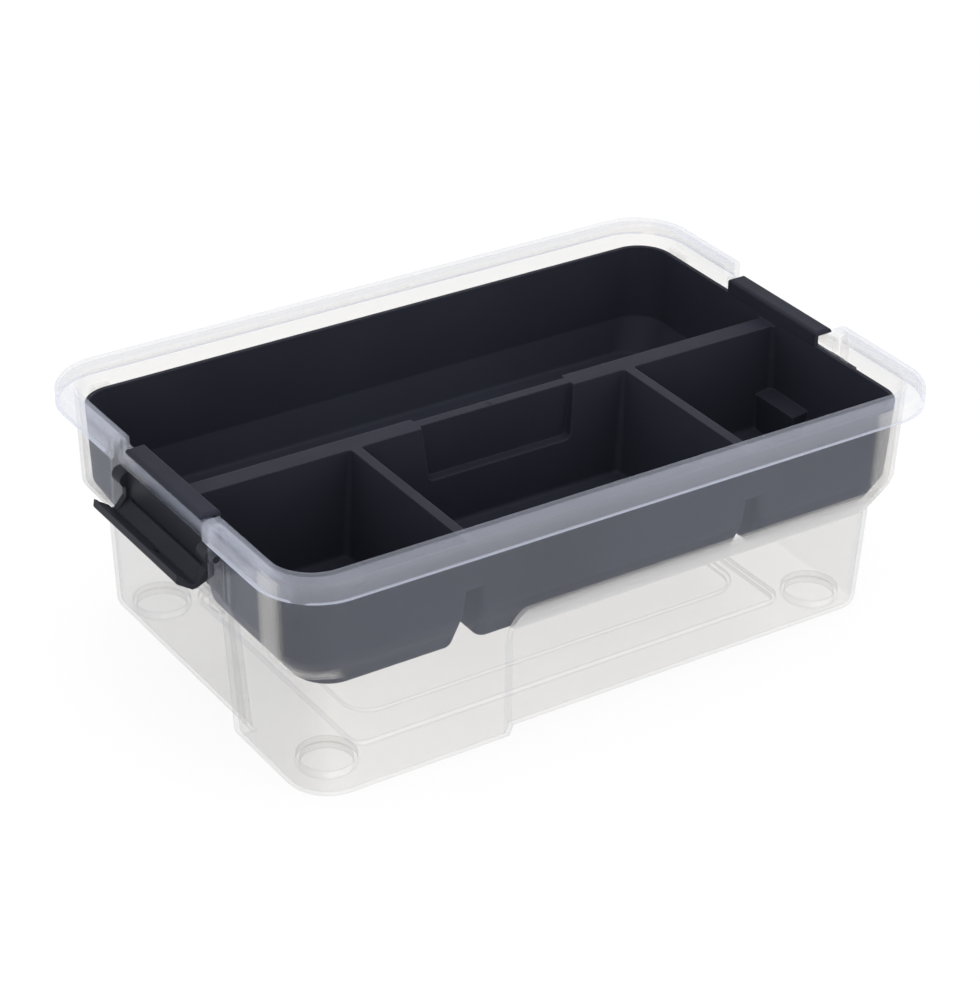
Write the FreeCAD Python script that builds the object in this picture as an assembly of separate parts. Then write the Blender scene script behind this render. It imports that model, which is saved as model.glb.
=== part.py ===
import FreeCAD, Part
import math
import os

os.makedirs("parts", exist_ok=True)

# Open storage case with a lift-out tray and two end latches, in millimetres.
# X runs along the long side, the front long side faces -Y, Z is up.
# The origin is the centre of the underside.

# Case, overall
case_length = 395.0
case_width = 263.0
case_height = 134.0
wall = 2.0
overrun = 6.0

# Rim of the case
rim_width_end = 10.75
rim_width_side = 13.5
rim_skirt = 10.6
rim_round = 3.6
rim_corner = 33.5
mouth_bevel = 1.2

# Walls of the case, with heights measured down from the mouth
upper_draft = 1.6
upper_corner = 23.5
upper_wall_height = 54.0
shoulder_height = 18.0
shoulder_side_height = 15.0
shoulder_in_end = 13.0
shoulder_in_side = 6.6
lower_draft = 3.0
lower_corner = 15.0
base_round = 6.0

# Corner foot that keeps the full width, on two opposite corners
foot_step = 7.25
foot_corner = 24.0
foot_draft = 2.0
foot_shoulder_drop = 8.0
foot_length = 118.0
foot_slant = 7.25
recess_corner = 13.0
recess_lead_out = 16.0

# Finger recess under each latch
recess_half_base = 43.0
recess_half_top = 34.0
recess_ceiling_rise = 3.0

# Raised panels of the floor, with the borders that they leave
panel_border_end = 39.5
panel_border_side = 26.8
panel_rise = 3.0
panel_corner = 6.0
centre_border_end = 12.0
centre_border_side = 19.0
centre_corner = 14.0
centre_rise = 2.0

# Round rise in each corner of the floor
dimple_in_end = 20.0
dimple_in_side = 23.5
dimple_radius = 15.5
dimple_rise = 4.5

# Notch in the rim at each end, and the low ledge in it
notch_half = 48.75
rim_overhang = 4.0
notch_depth = 6.0
ledge_reach = 6.3
ledge_height = 8.5
ledge_round = 4.5

# Shallow pocket of the wall behind each latch
latch_pocket_depth = 2.75

# Brackets that carry the latch pins
bracket_thickness = 2.5
bracket_reach = 7.9
bracket_foot_reach = 3.2
bracket_drop = 31.3
bracket_chamfer = 5.0

# Latch
pin_radius = 2.0
pin_play = 0.05
pin_out = 2.65
pin_drop = 21.7
latch_side_play = 0.75
latch_half = 43.0
hub_half = 39.0
hub_face_in = 0.4
hub_back = 3.4
hub_top = 4.9
hub_bottom = 9.5
hub_edge = 0.3
groove_width = 1.7
groove_depth = 1.6
knuckle_radius = 4.4
plate_thickness = 2.4
plate_low_out = 7.7
plate_low_drop = 18.2
plate_tip_out = 17.6
plate_tip_drop = 11.7
lip_rise = 1.8
pad_rise = 1.3
pad_wide = 6.2
pad_narrow = 2.6
pad_split = 9.0

# Tray
tray_wall = 2.0
tray_sunk = 11.5
tray_depth = 63.0
tray_gap_end = 3.2
tray_gap_side = 2.3
tray_knee_draft = 1.8
tray_draft_end = 13.5
tray_draft_side = 9.5
tray_corner = 20.0
pocket_corner_top = 4.0
pocket_corner_low = 6.0
pocket_round = 4.5
pocket_draft = 6.0
recess_gap = 1.2
divider_drop = 3.0
divider_front = -2.7
divider_width = 10.6
cross_spacing = 169.0
cross_width = 5.0
band_depth = 27.0
grip_centre = 2.0
grip_half_top = 47.0
grip_half_low = 44.0
grip_depth = 2.5
grip_round = 3.0
grip_drop = 30.5
gate_radius = 1.3
gate_height = 0.6
lip_half = 38.5
lip_reach = 5.6
lip_thickness = 2.5
lip_round = 1.9

half_turn = 180.0


def vec(x, y, z):
    return FreeCAD.Vector(x, y, z)


def outline(x0, x1, y0, y1, radii, z):
    # Rounded rectangle; radii run from (x1, y1) round to (x1, y0)
    diagonal = math.sqrt(0.5)
    corners = (
        (x1, y1, radii[0], 1, 1),
        (x0, y1, radii[1], -1, 1),
        (x0, y0, radii[2], -1, -1),
        (x1, y0, radii[3], 1, -1),
    )
    arcs = []
    for index, (cx, cy, r, sx, sy) in enumerate(corners):
        ox = cx - sx * r
        oy = cy - sy * r
        along_x = vec(ox + sx * r, oy, z)
        along_y = vec(ox, oy + sy * r, z)
        middle = vec(ox + sx * r * diagonal, oy + sy * r * diagonal, z)
        if index in (0, 2):
            arcs.append((along_x, middle, along_y))
        else:
            arcs.append((along_y, middle, along_x))
    edges = []
    for index, (start, middle, end) in enumerate(arcs):
        edges.append(Part.Arc(start, middle, end).toShape())
        following = arcs[(index + 1) % len(arcs)][0]
        edges.append(Part.LineSegment(end, following).toShape())
    return Part.Wire(edges)


def ring(half_x, half_y, r, z):
    return outline(-half_x, half_x, -half_y, half_y, (r, r, r, r), z)


def stack(wires):
    return Part.makeLoft(wires, True, True)


def prism(half_x, half_y, r, z0, z1):
    return stack([ring(half_x, half_y, r, z0), ring(half_x, half_y, r, z1)])


def box(x0, x1, y0, y1, z0, z1):
    return Part.makeBox(x1 - x0, y1 - y0, z1 - z0, vec(x0, y0, z0))


def level_edges(shape, z):
    near = wall / 100
    found = []
    for edge in shape.Edges:
        bounds = edge.BoundBox
        if abs(bounds.ZMin - z) < near and abs(bounds.ZMax - z) < near:
            found.append(edge)
    return found


def turned(shape):
    # The same shape at the opposite end
    copy = shape.copy()
    copy.rotate(vec(0, 0, 0), vec(0, 0, 1), half_turn)
    return copy


def both_ends(shape):
    return shape.fuse(turned(shape))


def slab_along_y(points, y0, y1):
    # Closed outline of (x, z) points, run from y0 to y1
    corners = [vec(x, y0, z) for x, z in points]
    face = Part.Face(Part.makePolygon(corners + corners[:1]))
    return face.extrude(vec(0, y1 - y0, 0))


def slab_along_x(points, x0, x1):
    # Closed outline of (y, z) points, run from x0 to x1
    corners = [vec(x0, y, z) for y, z in points]
    face = Part.Face(Part.makePolygon(corners + corners[:1]))
    return face.extrude(vec(x1 - x0, 0, 0))


def prism_in_plan(points, z0, z1):
    # Closed outline of (x, y) points, run from z0 to z1
    corners = [vec(x, y, z0) for x, y in points]
    face = Part.Face(Part.makePolygon(corners + corners[:1]))
    return face.extrude(vec(0, 0, z1 - z0))


# Heights above the underside
shoulder_top = case_height - upper_wall_height
shoulder_bottom = shoulder_top - shoulder_height
shoulder_side_top = shoulder_bottom + shoulder_side_height
foot_shoulder = shoulder_top - foot_shoulder_drop
recess_ceiling = shoulder_top - recess_ceiling_rise
notch_floor = case_height - notch_depth
pin_height = case_height - pin_drop
bracket_bottom = pin_height - bracket_drop
tray_top = case_height - tray_sunk
tray_bottom = tray_top - tray_depth
tray_knee = shoulder_top
band_bottom = tray_top - band_depth
divider_top = tray_top - divider_drop
grip_bottom = divider_top - grip_drop

# Half sizes of the outer wall, from the mouth down
mouth_x = case_length / 2 - rim_width_end
mouth_y = case_width / 2 - rim_width_side
top_x = mouth_x + wall
top_y = mouth_y + wall
upper_x = top_x - upper_draft
upper_y = top_y - upper_draft
low_x = upper_x - shoulder_in_end
low_y = upper_y - shoulder_in_side
base_x = low_x - lower_draft
base_y = low_y - lower_draft
low_corner = lower_corner + lower_draft
side_share = (shoulder_side_top - shoulder_bottom) / (shoulder_top - shoulder_bottom)
side_x = low_x + shoulder_in_end * side_share
side_corner = low_corner + (upper_corner - low_corner) * side_share
pin_x = top_x + pin_out
notch_start = rim_overhang - notch_half
panel_half_length = base_x - panel_border_end
panel_half_width = base_y - panel_border_side
centre_half_length = panel_half_length - centre_border_end
centre_half_width = panel_half_width - centre_border_side
dimple_x = base_x - dimple_in_end
dimple_y = base_y - dimple_in_side


def lower_wall_x(z):
    # Outer face of the lower end wall at a height
    return base_x + lower_draft * z / shoulder_bottom


def main_stack(inset, floor):
    # Body without the feet, drawn in by inset, from the height floor up
    start = lower_draft * floor / shoulder_bottom
    return stack([
        ring(base_x + start - inset, base_y + start - inset, lower_corner + start - inset, floor),
        ring(low_x - inset, low_y - inset, low_corner - inset, shoulder_bottom),
        ring(side_x - inset, upper_y - inset, side_corner - inset, shoulder_side_top),
        ring(upper_x - inset, upper_y - inset, upper_corner - inset, shoulder_top),
        ring(top_x - inset, top_y - inset, upper_corner - inset, case_height),
    ])


def foot_stack(inset, floor):
    # Fuller body that the two feet are cut from
    start = foot_draft * floor / foot_shoulder
    foot_x = base_x + foot_step - inset
    foot_y = base_y + foot_step - inset
    return stack([
        ring(foot_x + start, foot_y + start, foot_corner - inset, floor),
        ring(foot_x + foot_draft, foot_y + foot_draft, foot_corner - inset, foot_shoulder),
        ring(upper_x - inset, upper_y - inset, upper_corner - inset, shoulder_top),
    ])


def recess_slope(offset):
    # Flared sides of the finger recess, run along the whole length
    rise = recess_ceiling + recess_ceiling_rise
    top = recess_half_base - (recess_half_base - recess_half_top) * rise / recess_ceiling
    points = [
        (-recess_half_base - offset, -overrun),
        (recess_half_base + offset, -overrun),
        (top + offset, rise + offset),
        (-top - offset, rise + offset),
    ]
    return slab_along_x(points, -case_length, case_length)


def recess(offset):
    # Finger recess of the +X end, grown by offset towards the inside
    far = case_length
    points = [
        (lower_wall_x(-overrun) - offset, -overrun),
        (lower_wall_x(recess_ceiling) - offset, recess_ceiling + offset),
        (upper_x + overrun, recess_ceiling + recess_ceiling_rise + offset),
        (far, recess_ceiling + recess_ceiling_rise + offset),
        (far, -overrun),
    ]
    block = slab_along_y(points, -case_width, case_width)
    return block.common(recess_slope(offset))


def foot_region(inset):
    # Space of the foot at the -X, -Y corner, drawn in by inset
    lean = foot_slant / foot_step
    shift = inset * math.sqrt(1 + lean ** 2)
    front = low_y + foot_step + overrun
    back = low_y - foot_step
    edge = -base_x - foot_step + foot_length
    arc_x = edge + recess_corner
    arc_z = shoulder_side_top + wall / 2 - lean * shoulder_in_side - recess_corner
    front_reach = recess_corner + shift + lean * (front - low_y)
    back_reach = recess_corner + shift + lean * (back - low_y)
    space = prism_in_plan([
        (-case_length, -front),
        (arc_x - front_reach, -front),
        (arc_x - back_reach, -back),
        (arc_x - back_reach, 0),
        (-case_length, 0),
    ], -overrun, shoulder_top)
    flare = slab_along_y([
        (edge - foot_step - foot_slant, arc_z),
        (arc_x + recess_lead_out, arc_z),
        (arc_x + recess_lead_out, shoulder_top),
        (edge - foot_step - foot_slant, shoulder_top),
    ], -front, -back)
    bite = Part.makeCone(front_reach, back_reach, front - back, vec(arc_x, -front, arc_z), vec(0, 1, 0))
    under = slab_along_x([
        (-front, arc_z),
        (-back, arc_z),
        (-back, arc_z + back_reach),
        (-front, arc_z + front_reach),
    ], arc_x, arc_x + recess_lead_out + overrun)
    flare = flare.cut(bite).cut(under)
    return space.fuse(flare).cut(recess_slope(inset))


def feet(inset, floor, round_radius):
    body = foot_stack(inset, floor)
    body = body.makeFillet(round_radius, level_edges(body, floor))
    foot = body.common(foot_region(inset))
    return both_ends(foot)


def make_rim():
    # Inverted channel round the mouth
    low = case_height - rim_skirt
    outer = prism(case_length / 2, case_width / 2, rim_corner, low, case_height)
    outer = outer.makeFillet(rim_round, level_edges(outer, case_height))
    channel = prism(case_length / 2 - wall, case_width / 2 - wall, rim_corner - wall,
                    low - overrun, case_height - wall)
    channel = channel.makeFillet(rim_round - wall, level_edges(channel, case_height - wall))
    return outer, channel


def latch_pocket(offset):
    # Shallow pocket behind the latch of the +X end, grown by offset towards the inside
    back = top_x - latch_pocket_depth - offset
    side = notch_half + offset
    low = recess_ceiling - offset
    return box(back, case_length, -side, side, low, notch_floor - ledge_height + offset)


def make_ledge():
    # Low rounded ledge in the notch of the +X end
    low = notch_floor - ledge_height
    inside = top_x - wall
    outside = top_x + ledge_reach - wall
    solid = box(inside, outside, notch_start, notch_half, low, notch_floor)
    edges = []
    for edge in level_edges(solid, notch_floor):
        if edge.BoundBox.XMin > outside - wall / 2:
            edges.append(edge)
    solid = solid.makeFillet(ledge_round, edges)
    hollow = box(top_x, outside - wall, notch_start, notch_half, low - overrun, notch_floor - wall)
    return solid.cut(hollow)


def make_brackets(rim_outer):
    # Two webs of the +X end, which close the rim and hold the latch pins
    low = case_height - rim_skirt
    plan = [
        (top_x - wall, low + wall),
        (top_x + bracket_reach - wall, low + wall),
        (top_x + bracket_reach - wall, bracket_bottom + bracket_chamfer),
        (top_x + bracket_foot_reach - wall, bracket_bottom),
        (top_x - wall, bracket_bottom),
    ]
    webs = []
    for y0 in (notch_half, -notch_half - bracket_thickness):
        y1 = y0 + bracket_thickness
        web = slab_along_y(plan, y0, y1)
        end = rim_outer.common(box(top_x - wall, case_length, y0, y1, low, case_height))
        web = web.fuse(end)
        hole = Part.makeCylinder(pin_radius + pin_play, bracket_thickness + overrun,
                                 vec(pin_x, y0 - overrun / 2, pin_height), vec(0, 1, 0))
        webs.append(web.cut(hole))
    return webs[0].fuse(webs[1])


def dimples(radius, z0, z1):
    # Discs in the four corners of the floor
    discs = []
    for x in (-dimple_x, dimple_x):
        for y in (-dimple_y, dimple_y):
            discs.append(Part.makeCylinder(radius, z1 - z0, vec(x, y, z0)))
    return discs


def make_tub():
    outer = main_stack(0, 0)
    outer = outer.makeFillet(base_round, level_edges(outer, 0))
    rim_outer, channel = make_rim()
    shell = outer.fuse(rim_outer)
    shell = shell.cut(channel.cut(outer))
    shell = shell.fuse(feet(0, 0, base_round))

    # Rim is taken away over each notch, then the ledge and brackets go in
    high = case_height + overrun
    low = case_height - rim_skirt - overrun
    over_notch = box(mouth_x - overrun, case_length, notch_start, notch_half, notch_floor, high)
    skirt_cut = box(top_x, case_length, notch_start, notch_half, low, high)
    shell = shell.cut(both_ends(over_notch.fuse(skirt_cut).fuse(latch_pocket(0))))
    shell = shell.fuse(both_ends(make_ledge().fuse(make_brackets(rim_outer))))
    shell = shell.cut(both_ends(recess(0)))

    # Inside of the case
    cavity = main_stack(wall, wall)
    inner_round = base_round - wall
    cavity = cavity.makeFillet(inner_round, level_edges(cavity, wall))
    cavity = cavity.fuse(feet(wall, wall, inner_round))
    mouth = stack([
        ring(mouth_x, mouth_y, upper_corner - wall, case_height - mouth_bevel),
        ring(mouth_x + mouth_bevel, mouth_y + mouth_bevel, upper_corner - wall + mouth_bevel, case_height),
    ])
    cavity = cavity.fuse(mouth)
    cavity = cavity.cut(both_ends(recess(wall).fuse(latch_pocket(wall))))
    panel = prism(panel_half_length + wall, panel_half_width + wall, panel_corner + wall,
                  -overrun, wall + panel_rise)
    centre = prism(centre_half_length + wall, centre_half_width + wall, centre_corner + wall,
                   -overrun, wall + panel_rise + centre_rise)
    cavity = cavity.cut(panel).cut(centre)
    cavity = cavity.cut(dimples(dimple_radius, -overrun, wall + dimple_rise))
    shell = shell.cut(cavity)

    # Underside follows the raised panels and discs
    under_panel = prism(panel_half_length, panel_half_width, panel_corner, -overrun, panel_rise)
    under_centre = prism(centre_half_length, centre_half_width, centre_corner,
                         -overrun, panel_rise + centre_rise)
    shell = shell.cut(under_panel).cut(under_centre)
    shell = shell.cut(dimples(dimple_radius - wall, -overrun, dimple_rise))
    return shell.removeSplitter()


def make_latch():
    # Latch of the +X end as it hangs open; u is out from the pin, w is up from it
    def at(u, w):
        return (pin_x + u, pin_height + w)

    face = -hub_face_in
    foot = -hub_bottom - groove_width - plate_thickness
    hub = slab_along_y([
        at(-hub_back, foot),
        at(face, foot),
        at(face, hub_top),
        at(face - hub_edge * 2, hub_top),
        at(-hub_back, 0),
    ], -hub_half, hub_half)
    hub = hub.makeFillet(hub_edge, [e for e in hub.Edges if e.BoundBox.YLength > hub_half])

    # Plate runs down and out from the hub, then up to its raised lip
    slope = (plate_low_drop - plate_tip_drop) / (plate_tip_out - plate_low_out)
    half = plate_thickness / 2
    valley = -plate_low_drop + plate_thickness

    def over_plate(u, rise):
        # Point over the rising half of the plate
        return at(u, valley + (u - plate_low_out) * slope + rise)

    lip_in = plate_tip_out - plate_thickness
    plate = slab_along_y([
        at(-hub_back, foot + plate_thickness),
        at(-hub_back, foot),
        at(plate_low_out - half, -plate_low_drop),
        at(plate_low_out + half, -plate_low_drop),
        at(plate_tip_out - half / 2, -plate_tip_drop - half),
        at(plate_tip_out, -plate_tip_drop),
        over_plate(plate_tip_out - half / 2, lip_rise),
        over_plate(lip_in, lip_rise),
        over_plate(lip_in - half, 0),
        over_plate(plate_low_out + half, 0),
        at(plate_low_out - half, valley),
        at(0, foot + plate_thickness),
    ], -latch_half, latch_half)
    latch = hub.fuse(plate)

    # Shadow groove between the hub and the plate
    groove_low = pin_height - hub_bottom - groove_width
    groove = box(pin_x + face - groove_depth, pin_x + face + overrun,
                 plate_thickness - hub_half, hub_half - plate_thickness,
                 groove_low, groove_low + groove_width)
    latch = latch.cut(groove)

    # Cheeks, knuckles and pins at both sides
    for side in (-1, 1):
        cheek_start = min(side * hub_half, side * latch_half)
        cheek = slab_along_y([
            at(-hub_back, 0),
            at(-hub_back, foot),
            at(plate_low_out - half, valley),
            at(half, -hub_bottom),
            at(half + hub_edge, 0),
        ], cheek_start, cheek_start + latch_half - hub_half)
        knuckle_end = side * (notch_half - latch_side_play)
        start = min(side * hub_half, knuckle_end)
        span = abs(knuckle_end) - hub_half
        knuckle = Part.makeCylinder(knuckle_radius, span, vec(pin_x, start, pin_height), vec(0, 1, 0))
        pin_end = side * (notch_half + bracket_thickness)
        start = min(side * hub_half, pin_end)
        span = abs(pin_end) - hub_half
        pin = Part.makeCylinder(pin_radius, span, vec(pin_x, start, pin_height), vec(0, 1, 0))
        latch = latch.fuse([knuckle, cheek, pin])

    # Grip pad inside the lip, wide on one part and narrow on the other
    for width, y0, y1 in ((pad_wide, -latch_half, pad_split), (pad_narrow, pad_split, latch_half)):
        pad = slab_along_y([
            over_plate(lip_in, -half),
            over_plate(lip_in, pad_rise),
            over_plate(lip_in - width, pad_rise),
            over_plate(lip_in - width - pad_rise, -half),
        ], y0, y1)
        latch = latch.fuse(pad)
    return latch.removeSplitter()


# Half sizes of the tray's outer wall
tray_top_x = mouth_x - tray_gap_end
tray_top_y = mouth_y - tray_gap_side


def tray_section(z, inset):
    # Nearly upright above the knee, then drawn in like the shoulder of the case
    upper = (tray_top - max(z, tray_knee)) / (tray_top - tray_knee)
    lower = (tray_knee - min(z, tray_knee)) / (tray_knee - tray_bottom)
    in_end = tray_knee_draft * upper + (tray_draft_end - tray_knee_draft) * lower
    in_side = tray_knee_draft * upper + (tray_draft_side - tray_knee_draft) * lower
    return (tray_top_x - in_end - inset, tray_top_y - in_side - inset)


def pocket(sides, inset, floor, round_radius):
    # One compartment; sides says for x0, x1, y0, y1 either "wall" or a divider face at its top
    wires = []
    for z in (floor, tray_knee, tray_top):
        half_x, half_y = tray_section(z, inset)
        share = (tray_top - z) / (tray_top - tray_bottom)
        lean = pocket_draft * share + inset
        corner = pocket_corner_top + (pocket_corner_low - pocket_corner_top) * share
        x0, x1, y0, y1 = sides
        left = -half_x if x0 == "wall" else x0 + lean
        right = half_x if x1 == "wall" else x1 - lean
        front = -half_y if y0 == "wall" else y0 + lean
        back = half_y if y1 == "wall" else y1 - lean
        big = tray_corner - inset
        small = corner - inset
        radii = (
            big if (x1 == "wall" and y1 == "wall") else small,
            big if (x0 == "wall" and y1 == "wall") else small,
            big if (x0 == "wall" and y0 == "wall") else small,
            big if (x1 == "wall" and y0 == "wall") else small,
        )
        wires.append(outline(left, right, front, back, radii, z))
    solid = stack(wires)
    return solid.makeFillet(round_radius, level_edges(solid, floor))


def grip(grow):
    # Finger grips sunk into both faces of the long divider, grown by a wall
    top = divider_top + (0 if grow else overrun)
    back_face = divider_front + divider_width
    rise = (top - grip_bottom) / (divider_top - grip_bottom)
    top_half = grip_half_low + (grip_half_top - grip_half_low) * rise
    points = [
        (grip_centre - grip_half_low - grow, grip_bottom - grow),
        (grip_centre + grip_half_low + grow, grip_bottom - grow),
        (grip_centre + top_half + grow, top),
        (grip_centre - top_half - grow, top),
    ]
    sides = []
    for y0, y1 in (
        (divider_front - pocket_draft, divider_front + grip_depth + grow),
        (back_face - grip_depth - grow, back_face + pocket_draft),
    ):
        slab = slab_along_y(points, y0, y1)
        edges = [e for e in level_edges(slab, grip_bottom - grow) if e.BoundBox.XLength < wall]
        sides.append(slab.makeFillet(grip_round + grow, edges))
    return sides[0].fuse(sides[1])


def make_tray():
    back_face = divider_front + divider_width
    cross_left = -cross_spacing / 2
    cross_right = cross_spacing / 2
    half = cross_width / 2
    # Tops of the dividers, as the compartments see them
    layout = [
        ("wall", "wall", back_face, "wall"),
        ("wall", cross_left - half, "wall", divider_front),
        (cross_left + half, cross_right - half, "wall", divider_front),
        (cross_right + half, "wall", "wall", divider_front),
    ]

    def shifted(sides, grow):
        # Moves divider faces so that the pocket grows into the divider
        x0, x1, y0, y1 = sides
        return (
            x0 if x0 == "wall" else x0 - grow,
            x1 if x1 == "wall" else x1 + grow,
            y0 if y0 == "wall" else y0 - grow,
            y1 if y1 == "wall" else y1 + grow,
        )

    outer_parts = []
    inner_parts = []
    for sides in layout:
        outer_parts.append(pocket(shifted(sides, tray_wall), 0, tray_bottom, pocket_round))
        inner_parts.append(pocket(shifted(sides, tray_wall), tray_wall, tray_bottom + tray_wall,
                                  pocket_round - tray_wall))

    # Band that joins the compartments round the outside
    high_x, high_y = tray_section(tray_top, 0)
    low_x_band, low_y_band = tray_section(band_bottom, 0)
    band = stack([ring(low_x_band, low_y_band, tray_corner, band_bottom),
                  ring(high_x, high_y, tray_corner, tray_top)])
    hollow = stack([
        ring(low_x_band - tray_wall, low_y_band - tray_wall, tray_corner - tray_wall, band_bottom),
        ring(high_x - tray_wall, high_y - tray_wall, tray_corner - tray_wall, tray_top),
    ])
    tray = band.cut(hollow)
    for part in outer_parts:
        tray = tray.fuse(part)

    # Deck between the compartments, which is the flat top of the dividers
    deck_low = divider_top - tray_wall
    deck_x, deck_y = tray_section(deck_low, tray_wall / 2)
    deck = prism(deck_x, deck_y, tray_corner - tray_wall / 2, deck_low, divider_top)
    tray = tray.fuse(deck)
    above = stack([
        ring(*tray_section(divider_top, tray_wall), tray_corner - tray_wall, divider_top),
        ring(high_x - tray_wall, high_y - tray_wall, tray_corner - tray_wall, tray_top + tray_wall),
    ])
    tray = tray.cut(above)

    # Lips at both ends, which hang on the ledges of the case
    foot_x = tray_section(divider_top, 0)[0] - tray_wall
    lip_top = notch_floor + lip_thickness
    riser = slab_along_y([
        (foot_x, divider_top),
        (tray_section(divider_top, 0)[0], divider_top),
        (tray_top_x, tray_top),
        (tray_top_x, notch_floor),
        (mouth_x + lip_reach, notch_floor),
        (mouth_x + lip_reach, lip_top),
        (foot_x, lip_top),
    ], -lip_half, lip_half)
    riser = riser.makeFillet(lip_round, level_edges(riser, lip_top))
    tray = tray.fuse(both_ends(riser))

    # Compartments are hollowed, with the end recess kept clear
    near = both_ends(recess(wall + recess_gap))
    far = both_ends(recess(wall + recess_gap + tray_wall))
    tray = tray.cut(near)
    envelope = outer_parts[0]
    for part in outer_parts[1:]:
        envelope = envelope.fuse(part)
    step_skin = far.common(envelope).cut(near)
    tray = tray.fuse(grip(tray_wall))
    for part in inner_parts:
        tray = tray.cut(part)
    tray = tray.fuse(step_skin).cut(grip(0))
    gate = Part.makeCylinder(gate_radius, gate_height + tray_wall / 2,
                             vec(0, divider_front + divider_width / 2, divider_top - tray_wall / 2))
    return tray.fuse(gate).removeSplitter()


tub = make_tub()
print("tub", tub.isValid(), len(tub.Solids), round(tub.Volume))
latch = make_latch()
print("latch", latch.isValid(), len(latch.Solids), round(latch.Volume))
tray = make_tray()
print("tray", tray.isValid(), len(tray.Solids), round(tray.Volume))

tub.exportStep("parts/tub.step")
tray.exportStep("parts/organiser_tray.step")
latch.exportStep("parts/latch_right.step")
turned(latch).exportStep("parts/latch_left.step")
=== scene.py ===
import math
import bpy
from mathutils import Matrix, Vector

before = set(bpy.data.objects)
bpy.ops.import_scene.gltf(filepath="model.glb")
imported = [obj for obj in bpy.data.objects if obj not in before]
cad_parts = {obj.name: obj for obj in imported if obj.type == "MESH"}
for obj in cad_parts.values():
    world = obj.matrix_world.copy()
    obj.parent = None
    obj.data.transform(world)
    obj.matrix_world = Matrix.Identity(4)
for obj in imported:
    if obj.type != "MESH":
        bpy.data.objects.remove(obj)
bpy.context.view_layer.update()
scene = bpy.context.scene
print("stage: frame loaded")

white = (1.0, 1.0, 1.0, 1.0)
noiseSpan = (0.3, 0.7)     # where most of a noise texture's values lie


# Helpers for materials
def newMaterial(name):
    material = bpy.data.materials.new(name)
    material.use_nodes = True
    material.node_tree.nodes.clear()
    return material, material.node_tree


def put(tree, kind, settings=None, **sockets):
    # Adds a node; a socket goes by its name, with _ for a space, or by its number after an i
    node = tree.nodes.new(kind)
    for key, value in (settings or {}).items():
        setattr(node, key, value)
    for key, value in sockets.items():
        numbered = key[0] == "i" and key[1:].isdigit()
        socket = node.inputs[int(key[1:]) if numbered else key.replace("_", " ")]
        if isinstance(value, bpy.types.NodeSocket):
            tree.links.new(value, socket)
        else:
            socket.default_value = value
    return node


def maths(tree, operation, *values, clamp=False):
    sockets = {"i%d" % index: value for index, value in enumerate(values)}
    return put(tree, "ShaderNodeMath", {"operation": operation, "use_clamp": clamp}, **sockets).outputs[0]


def times(tree, first, *others):
    for other in others:
        first = maths(tree, "MULTIPLY", first, other)
    return first


def over(tree, value, limit):
    return maths(tree, "GREATER_THAN", value, limit)


def under(tree, value, limit):
    return maths(tree, "LESS_THAN", value, limit)


def spread(tree, value, low, high, fromLow, fromHigh):
    # Runs from low to high while the value runs from fromLow to fromHigh
    return put(tree, "ShaderNodeMapRange", Value=value, From_Min=fromLow, From_Max=fromHigh,
               To_Min=low, To_Max=high).outputs[0]


def fade(tree, value, low, high, soft):
    # 1 between low and high, 0 outside them, with soft ends
    rising = spread(tree, value, 0.0, 1.0, low - soft, low + soft)
    falling = spread(tree, value, 1.0, 0.0, high - soft, high + soft)
    return times(tree, rising, falling)


def within(tree, value, low, high):
    # The same with hard ends
    return times(tree, over(tree, value, low), under(tree, value, high))


def noiseOf(tree, point, scale, detail=2.0):
    return put(tree, "ShaderNodeTexNoise", Vector=point, Scale=scale, Detail=detail,
               Roughness=0.5).outputs["Fac"]


def blendColours(tree, share, first, second):
    # Several sockets of this node share a name, so they go by number
    return put(tree, "ShaderNodeMix", {"data_type": "RGBA"}, i0=share, i6=first, i7=second).outputs[2]


def blendShaders(tree, share, first, second):
    return put(tree, "ShaderNodeMixShader", Fac=share, i1=first, i2=second).outputs[0]


def partsOf(tree, vector):
    return put(tree, "ShaderNodeSeparateXYZ", Vector=vector).outputs


def objectPoint(tree):
    return put(tree, "ShaderNodeTexCoord").outputs["Object"]


def surfaceNormal(tree):
    return put(tree, "ShaderNodeNewGeometry").outputs["Normal"]


def seenDirectly(tree):
    # 1 for what is seen, also in a gloss, 0 for what only lights the scene
    path = put(tree, "ShaderNodeLightPath").outputs
    direct = maths(tree, "MAXIMUM", path["Is Camera Ray"], path["Is Glossy Ray"])
    return maths(tree, "MAXIMUM", direct, path["Is Transmission Ray"])


def finishMaterial(tree, shader):
    tree.links.new(shader, put(tree, "ShaderNodeOutputMaterial").inputs["Surface"])


def dress(nodeName, material):
    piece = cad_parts[nodeName]
    piece.data.materials.clear()
    piece.data.materials.append(material)


roundedEdge = {
    "samples": 4,
    "turn": (0.80, 0.995),     # cosine of the rounded normal's turn, at a full edge and at none
}


def edgeMask(tree, radius):
    # 1 on an edge, 0 away from it, with the rounded normal that it came from
    rounded = put(tree, "ShaderNodeBevel", {"samples": roundedEdge["samples"]}, Radius=radius).outputs[0]
    turn = put(tree, "ShaderNodeVectorMath", {"operation": "DOT_PRODUCT"}, i0=rounded,
               i1=surfaceNormal(tree))
    cosine = maths(tree, "ABSOLUTE", turn.outputs["Value"])
    return spread(tree, cosine, 1.0, 0.0, *roundedEdge["turn"]), rounded


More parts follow.
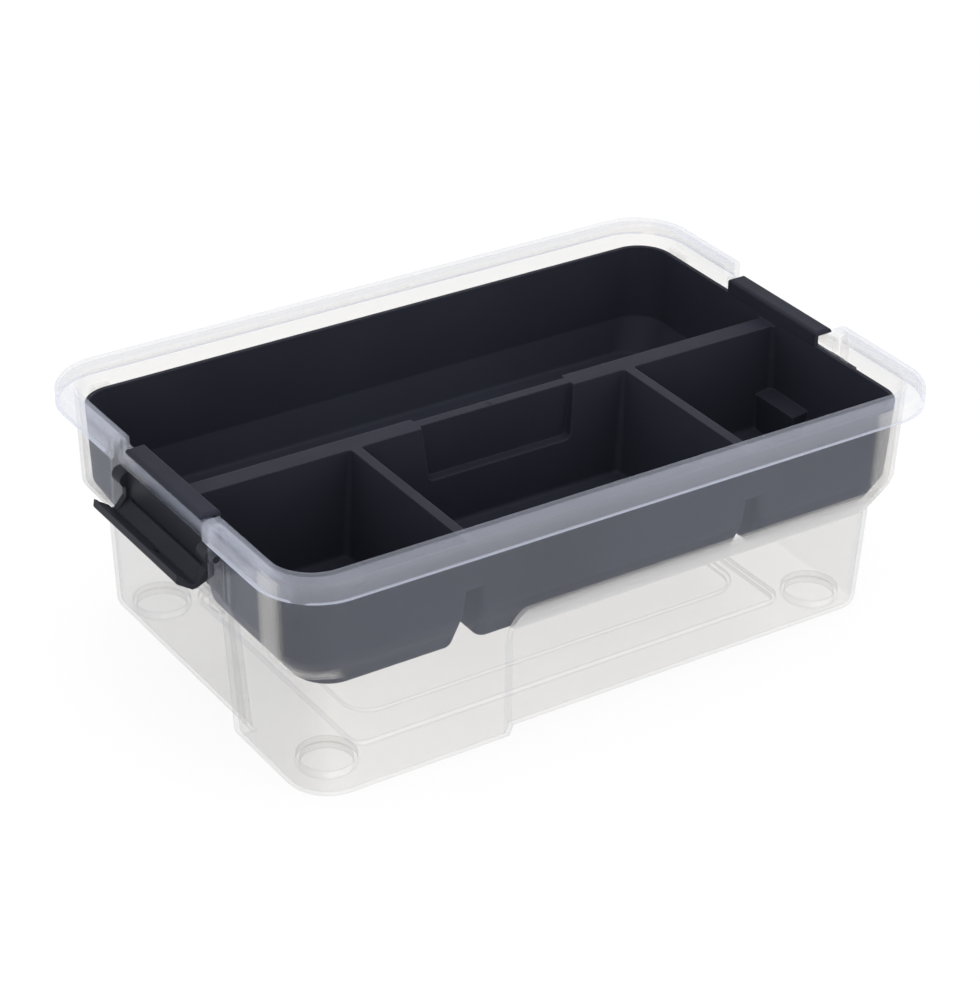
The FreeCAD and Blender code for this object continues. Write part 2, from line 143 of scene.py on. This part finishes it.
# Natural see-through plastic of the case
clearPlastic = {
    "passes": (0.999, 0.994, 0.983, 1.0),     # what one skin lets through
    "endPassesPaintedShade": (0.940, 0.936, 0.926, 1.0),  # painted shade: the same, darker, on the short ends
    "endTurn": (0.4, 0.9),                    # how far a skin faces along X before the painted shade counts
    "haze": (0.67, 0.75, 1.0, 1.0),           # bluish light thrown back by the wall
    "hazeRoughness": 0.45,
    "hazeShine": 0.3,
    "glow": (0.97, 0.955, 0.93, 1.0),         # warmer light that soaks through it
    "glowShare": 0.5,
    "hazeShare": 0.036,                       # of one skin, seen square on
    "hazeBlotch": 0.005,
    "blotchScale": 9.0,
    "blotchDetail": 3.0,
    "slantLeast": 0.25,                       # a skin seen flatter than this gets no cloudier
    "edgeRadius": 0.0017,
    "edgeShade": (0.95, 0.95, 0.96, 1.0),     # edges bend the view, so they read grey
    "edgeGrey": (0.50, 0.50, 0.50, 1.0),
    "edgeShare": 0.11,
    "glossRoughness": 0.16,
    "glossLeast": 0.02,
    "glossRise": 0.25,                        # added where the skin is seen edge on
    "glossPower": 5.0,
    "rippleScale": 38.0,                      # slow waviness of the moulded skin
    "rippleDepth": 0.00012,
    "rippleStrength": 0.35,
}

# Where the case is cloudier than its walls, and where highlight strips are painted on as haze, in metres
# from the middle of its underside
cloudyPlaces = {
    "belowRim": (0.106, 0.116),               # greyer edges and the painted shade on the ends fade out between these
    "rimHeight": (0.119, 0.124),
    "rimHaze": 0.025,                         # the rolled rim is thicker
    "rimEndHaze": 0.035,                      # more of it on the short ends
    "endWall": 0.1885,
    "lineHaze": 0.22,                         # bright line along the foot of the rim
    "lineHeight": (0.1232, 0.1233, 0.1242),   # starts, is full, ends
    "skirtEnd": 0.1895,
    "skirtSide": 0.1235,
    "skirtNotch": 0.0525,                     # no line within the notch
    "slopeHaze": 0.42,                        # the sloped shoulder bends the view away
    "slopeTurn": (0.12, 0.35),                # how far the skin leans before it counts
    "slopeHeight": (0.0785, 0.0690, 0.0590),  # starts, is full, ends
    "slopeEnd": (0.160, 0.175),               # weaker towards the short ends
    "slopeEndShare": 0.25,
    "postPaintedHighlight": 0.13,                         # painted highlight: pale upright strips beside the upper corners
    "postHeight": (0.078, 0.1232),
    "postSoft": 0.0015,
    "postEnd": (0.0850, 0.1010),              # on the ends, at the two foot corners
    "postEndWall": 0.180,
    "postSide": (0.1600, 0.1720),             # on the long sides, at the other two
    "postSideWall": 0.110,
    "paleTint": (0.88, 0.88, 0.89, 1.0),      # of the shoulder and the painted highlight strips
    "ledgeHaze": -0.02,                       # the ledge in the notch is clearer than the rim
    "ledgeHeight": (0.118, 0.1285),
    "ledgeHalf": 0.0490,
}


def rimLine(tree, acrossX, acrossY, height):
    # Haze of the line on the skirt of the rim; none on the walls, inside them or in the notches
    places = cloudyPlaces
    starts, full, ends = places["lineHeight"]
    onEnd = times(tree, over(tree, acrossX, places["skirtEnd"]), over(tree, acrossY, places["skirtNotch"]))
    onSkirt = maths(tree, "MAXIMUM", onEnd, over(tree, acrossY, places["skirtSide"]))
    return times(tree, spread(tree, height, places["lineHaze"], 0.0, full, ends), onSkirt,
                 over(tree, height, starts))


def shoulderHaze(tree, acrossX, height):
    places = cloudyPlaces
    starts, full, ends = places["slopeHeight"]
    lean = maths(tree, "ABSOLUTE", partsOf(tree, surfaceNormal(tree))["Z"])
    return times(tree, spread(tree, lean, 0.0, places["slopeHaze"], *places["slopeTurn"]),
                 spread(tree, height, 1.0, 0.0, full, starts),
                 over(tree, height, ends),
                 spread(tree, acrossX, 1.0, places["slopeEndShare"], *places["slopeEnd"]))


# Painted highlight: pale upright strips beside the rounded corners, added as extra haze
def paintedCornerHighlights(tree, parts, acrossX, acrossY):
    places = cloudyPlaces
    footCorner = over(tree, times(tree, parts["X"], parts["Y"]), 0.0)
    otherCorner = maths(tree, "SUBTRACT", 1.0, footCorner)
    onEnd = times(tree, fade(tree, acrossY, *places["postEnd"], places["postSoft"]),
                  over(tree, acrossX, places["postEndWall"]), footCorner)
    onSide = times(tree, fade(tree, acrossX, *places["postSide"], places["postSoft"]),
                   over(tree, acrossY, places["postSideWall"]), otherCorner)
    return times(tree, maths(tree, "MAXIMUM", onEnd, onSide), places["postPaintedHighlight"],
                 within(tree, parts["Z"], *places["postHeight"]))


def addedHaze(tree, parts):
    # What these places add to the haze share, and the part of it that is pale, not bluish; the pale part
    # holds the painted highlight strips
    places = cloudyPlaces
    acrossX, acrossY = (maths(tree, "ABSOLUTE", parts[axis]) for axis in ("X", "Y"))
    height = parts["Z"]
    onEnd = over(tree, acrossX, places["endWall"])
    rimShare = maths(tree, "MULTIPLY_ADD", onEnd, places["rimEndHaze"], places["rimHaze"])
    rim = times(tree, rimShare, spread(tree, height, 0.0, 1.0, *places["rimHeight"]))
    onLedge = times(tree, within(tree, height, *places["ledgeHeight"]), onEnd,
                    under(tree, acrossY, places["ledgeHalf"]))
    line = rimLine(tree, acrossX, acrossY, height)
    pale = maths(tree, "ADD", shoulderHaze(tree, acrossX, height),
                 paintedCornerHighlights(tree, parts, acrossX, acrossY))
    total = maths(tree, "MULTIPLY_ADD", onLedge, places["ledgeHaze"], rim)
    return maths(tree, "ADD", maths(tree, "ADD", total, line), pale), pale


def clearPlasticMaterial():
    look = clearPlastic
    material, tree = newMaterial("clearPlastic")
    point = objectPoint(tree)
    parts = partsOf(tree, point)
    ripple = noiseOf(tree, point, look["rippleScale"])
    bump = put(tree, "ShaderNodeBump", Strength=look["rippleStrength"], Distance=look["rippleDepth"],
               Height=ripple).outputs[0]
    facing = put(tree, "ShaderNodeLayerWeight", Blend=0.5).outputs["Facing"]

    # Share of the light that one skin scatters; more where it is seen at a slant
    blotch = noiseOf(tree, point, look["blotchScale"], look["blotchDetail"])
    low = look["hazeShare"] - look["hazeBlotch"]
    high = look["hazeShare"] + look["hazeBlotch"]
    added, pale = addedHaze(tree, parts)
    share = maths(tree, "ADD", spread(tree, blotch, low, high, *noiseSpan), added, clamp=True)
    square = maths(tree, "MAXIMUM", maths(tree, "SUBTRACT", 1.0, facing), look["slantLeast"])
    clearShare = maths(tree, "POWER", maths(tree, "SUBTRACT", 1.0, share),
                       maths(tree, "DIVIDE", 1.0, square))
    hazeShare = maths(tree, "SUBTRACT", 1.0, clearShare, clamp=True)

    # What goes straight through
    belowRim = spread(tree, parts["Z"], 1.0, 0.0, *cloudyPlaces["belowRim"])
    edge = times(tree, edgeMask(tree, look["edgeRadius"])[0], belowRim)
    alongX = maths(tree, "ABSOLUTE", partsOf(tree, surfaceNormal(tree))["X"])
    # Painted shade: skins that face along X, on the short ends, let less through, as if less light fell on
    # them
    paintedShadeOnEnds = times(tree, spread(tree, alongX, 0.0, 1.0, *look["endTurn"]), belowRim)
    passes = blendColours(tree, paintedShadeOnEnds, look["passes"], look["endPassesPaintedShade"])
    edgePasses = blendColours(tree, edge, passes, look["edgeShade"])
    through = put(tree, "ShaderNodeBsdfTransparent", Color=passes).outputs[0]
    throughEdge = put(tree, "ShaderNodeBsdfTransparent", Color=edgePasses).outputs[0]

    # What is scattered, back and onward
    tint = blendColours(tree, over(tree, pale, 0.0), look["haze"], cloudyPlaces["paleTint"])
    haze = put(tree, "ShaderNodeBsdfPrincipled", Base_Color=tint, Roughness=look["hazeRoughness"],
               Specular_IOR_Level=look["hazeShine"], Normal=bump).outputs[0]
    glow = put(tree, "ShaderNodeBsdfTranslucent", Color=look["glow"], Normal=bump).outputs[0]
    scatter = blendShaders(tree, look["glowShare"], haze, glow)

    grey = put(tree, "ShaderNodeBsdfDiffuse", Color=look["edgeGrey"]).outputs[0]
    gloss = put(tree, "ShaderNodeBsdfGlossy", Color=white, Roughness=look["glossRoughness"],
                Normal=bump).outputs[0]
    rise = maths(tree, "POWER", facing, look["glossPower"])
    shine = maths(tree, "MULTIPLY_ADD", rise, look["glossRise"], look["glossLeast"])
    shown = blendShaders(tree, hazeShare, throughEdge, scatter)
    shown = blendShaders(tree, times(tree, edge, look["edgeShare"]), shown, grey)
    shown = blendShaders(tree, shine, shown, gloss)

    # Light and shadow go through a plainer skin, without edges and gloss
    plain = blendShaders(tree, hazeShare, through, scatter)
    path = put(tree, "ShaderNodeLightPath").outputs
    unseen = maths(tree, "MAXIMUM", path["Is Shadow Ray"], path["Is Diffuse Ray"])
    finishMaterial(tree, blendShaders(tree, unseen, shown, plain))
    return material


# Dark satin plastic of the tray and the latches
trayPlastic = {
    "name": "trayPlastic",
    "colour": (0.0205, 0.0215, 0.031, 1.0),
    "cast": (0.026, 0.028, 0.041, 1.0),       # cloudier patches of the same mix
    "cloudScale": 7.0,
    "cloudDetail": 3.0,
    "roughness": 0.50,
    "roughSpread": 0.07,
    "roughScale": 35.0,
    "roughDetail": 4.0,
    "shine": 0.06,
    "edgeRadius": 0.0012,
    "edgePaintedHighlight": (0.060, 0.063, 0.078, 1.0),   # painted highlight: the rounded edges are painted paler
    "edgeShare": 0.6,
}
latchPlastic = dict(trayPlastic, name="latchPlastic", colour=(0.023, 0.024, 0.031, 1.0),
                    cast=(0.030, 0.031, 0.039, 1.0), roughness=0.42, edgeRadius=0.0006)


def darkPlasticMaterial(look):
    material, tree = newMaterial(look["name"])
    point = objectPoint(tree)
    cloud = noiseOf(tree, point, look["cloudScale"], look["cloudDetail"])
    colour = blendColours(tree, spread(tree, cloud, 0.0, 1.0, *noiseSpan), look["colour"], look["cast"])
    edge, rounded = edgeMask(tree, look["edgeRadius"])
    # Painted highlight: the rounded edges get a paler colour
    colour = blendColours(tree, times(tree, edge, look["edgeShare"]), colour, look["edgePaintedHighlight"])
    uneven = noiseOf(tree, point, look["roughScale"], look["roughDetail"])
    low = look["roughness"] - look["roughSpread"]
    high = look["roughness"] + look["roughSpread"]
    plastic = put(tree, "ShaderNodeBsdfPrincipled", Base_Color=colour, Specular_IOR_Level=look["shine"],
                  Roughness=spread(tree, uneven, low, high, *noiseSpan), Normal=rounded)
    finishMaterial(tree, plastic.outputs[0])
    return material


dress("tub", clearPlasticMaterial())
dress("organiser_tray", darkPlasticMaterial(trayPlastic))
latchMaterial = darkPlasticMaterial(latchPlastic)
for nodeName in ("latch_left", "latch_right"):
    dress(nodeName, latchMaterial)
print("stage: plastics on the case, tray and latches")


# Pale floor that goes out to white, with a soft shadow under the case
studioFloor = {
    "halfSize": 30.0,
    "drop": 0.0002,                           # just under the case's own faces
    "colour": (0.93, 0.93, 0.93, 1.0),        # as it lights the case
    "shownColour": (0.97, 0.97, 0.97, 1.0),
    "whiteShare": 0.90,                       # of what is shown; the rest takes the shadow
}


def makeFloor():
    look = studioFloor
    half = look["halfSize"]
    corners = [(-half, -half, 0), (half, -half, 0), (half, half, 0), (-half, half, 0)]
    mesh = bpy.data.meshes.new("floor")
    mesh.from_pydata(corners, [], [(0, 1, 2, 3)])
    floor = bpy.data.objects.new("floor", mesh)
    scene.collection.objects.link(floor)
    floor.location.z = -look["drop"]
    material, tree = newMaterial("floorPaint")
    plain = put(tree, "ShaderNodeBsdfDiffuse", Color=look["colour"]).outputs[0]
    shown = put(tree, "ShaderNodeBsdfDiffuse", Color=look["shownColour"]).outputs[0]
    bright = put(tree, "ShaderNodeEmission", Color=white, Strength=1.0).outputs[0]
    shown = blendShaders(tree, look["whiteShare"], shown, bright)
    finishMaterial(tree, blendShaders(tree, seenDirectly(tree), plain, shown))
    mesh.materials.append(material)


# Even studio light: a white room and three soft boxes
studioLight = {
    "room": 1.15,
    "boxes": (
        # name, place, aim, size, watts
        ("overhead", (0.1, -0.25, 1.7), (0, 0, 0.1), 1.6, 6.0),
        ("leftKey", (-1.6, -0.7, 1.1), (0, 0, 0.08), 0.9, 1.5),
        ("frontFill", (0.5, -1.7, 0.5), (0, 0, 0.05), 1.0, 3.0),
    ),
}


def makeLight():
    world = bpy.data.worlds.new("room")
    scene.world = world
    world.use_nodes = True
    tree = world.node_tree
    tree.nodes.clear()
    lit = put(tree, "ShaderNodeBackground", Color=white, Strength=studioLight["room"]).outputs[0]
    shown = put(tree, "ShaderNodeBackground", Color=white, Strength=1.0).outputs[0]
    room = blendShaders(tree, seenDirectly(tree), lit, shown)
    tree.links.new(room, put(tree, "ShaderNodeOutputWorld").inputs["Surface"])
    for name, place, aim, size, watts in studioLight["boxes"]:
        lamp = bpy.data.lights.new(name, "AREA")
        lamp.shape = "DISK"
        lamp.size = size
        lamp.energy = watts
        box = bpy.data.objects.new(name, lamp)
        scene.collection.objects.link(box)
        box.location = place
        box.rotation_euler = (Vector(aim) - Vector(place)).to_track_quat("-Z", "Y").to_euler()


# Camera as the photograph was taken
cameraView = {
    "azimuth": -34.14,
    "elevation": 29.76,
    "roll": 1.44,
    "distance": 1.63226,
    "target": (0.00369, 0.00585, 0.06437),
    "focalPixels": 3094.14,
    "photoWidth": 980,
    "sensorWidth": 36.0,
    "clip": (0.05, 100.0),
}


def makeCamera():
    look = cameraView
    azimuth, elevation, roll = (math.radians(look[key]) for key in ("azimuth", "elevation", "roll"))
    level = math.cos(elevation)
    back = Vector((math.sin(azimuth) * level, -math.cos(azimuth) * level, math.sin(elevation)))
    across = Vector((math.cos(azimuth), math.sin(azimuth), 0))
    above = back.cross(across)
    right = across * math.cos(roll) + above * math.sin(roll)
    up = above * math.cos(roll) - across * math.sin(roll)
    lens = bpy.data.cameras.new("photoCamera")
    lens.sensor_fit = "HORIZONTAL"
    lens.sensor_width = look["sensorWidth"]
    lens.lens = look["focalPixels"] * look["sensorWidth"] / look["photoWidth"]
    lens.clip_start, lens.clip_end = look["clip"]
    camera = bpy.data.objects.new("photoCamera", lens)
    scene.collection.objects.link(camera)
    turn = Matrix((right, up, back)).transposed().to_4x4()
    camera.matrix_world = Matrix.Translation(Vector(look["target"]) + back * look["distance"]) @ turn
    scene.camera = camera


makeFloor()
makeLight()
makeCamera()
scene.view_settings.view_transform = "Standard"
scene.cycles.transparent_max_bounces = 32     # many thin walls lie behind each other
print("stage: floor, light and camera")
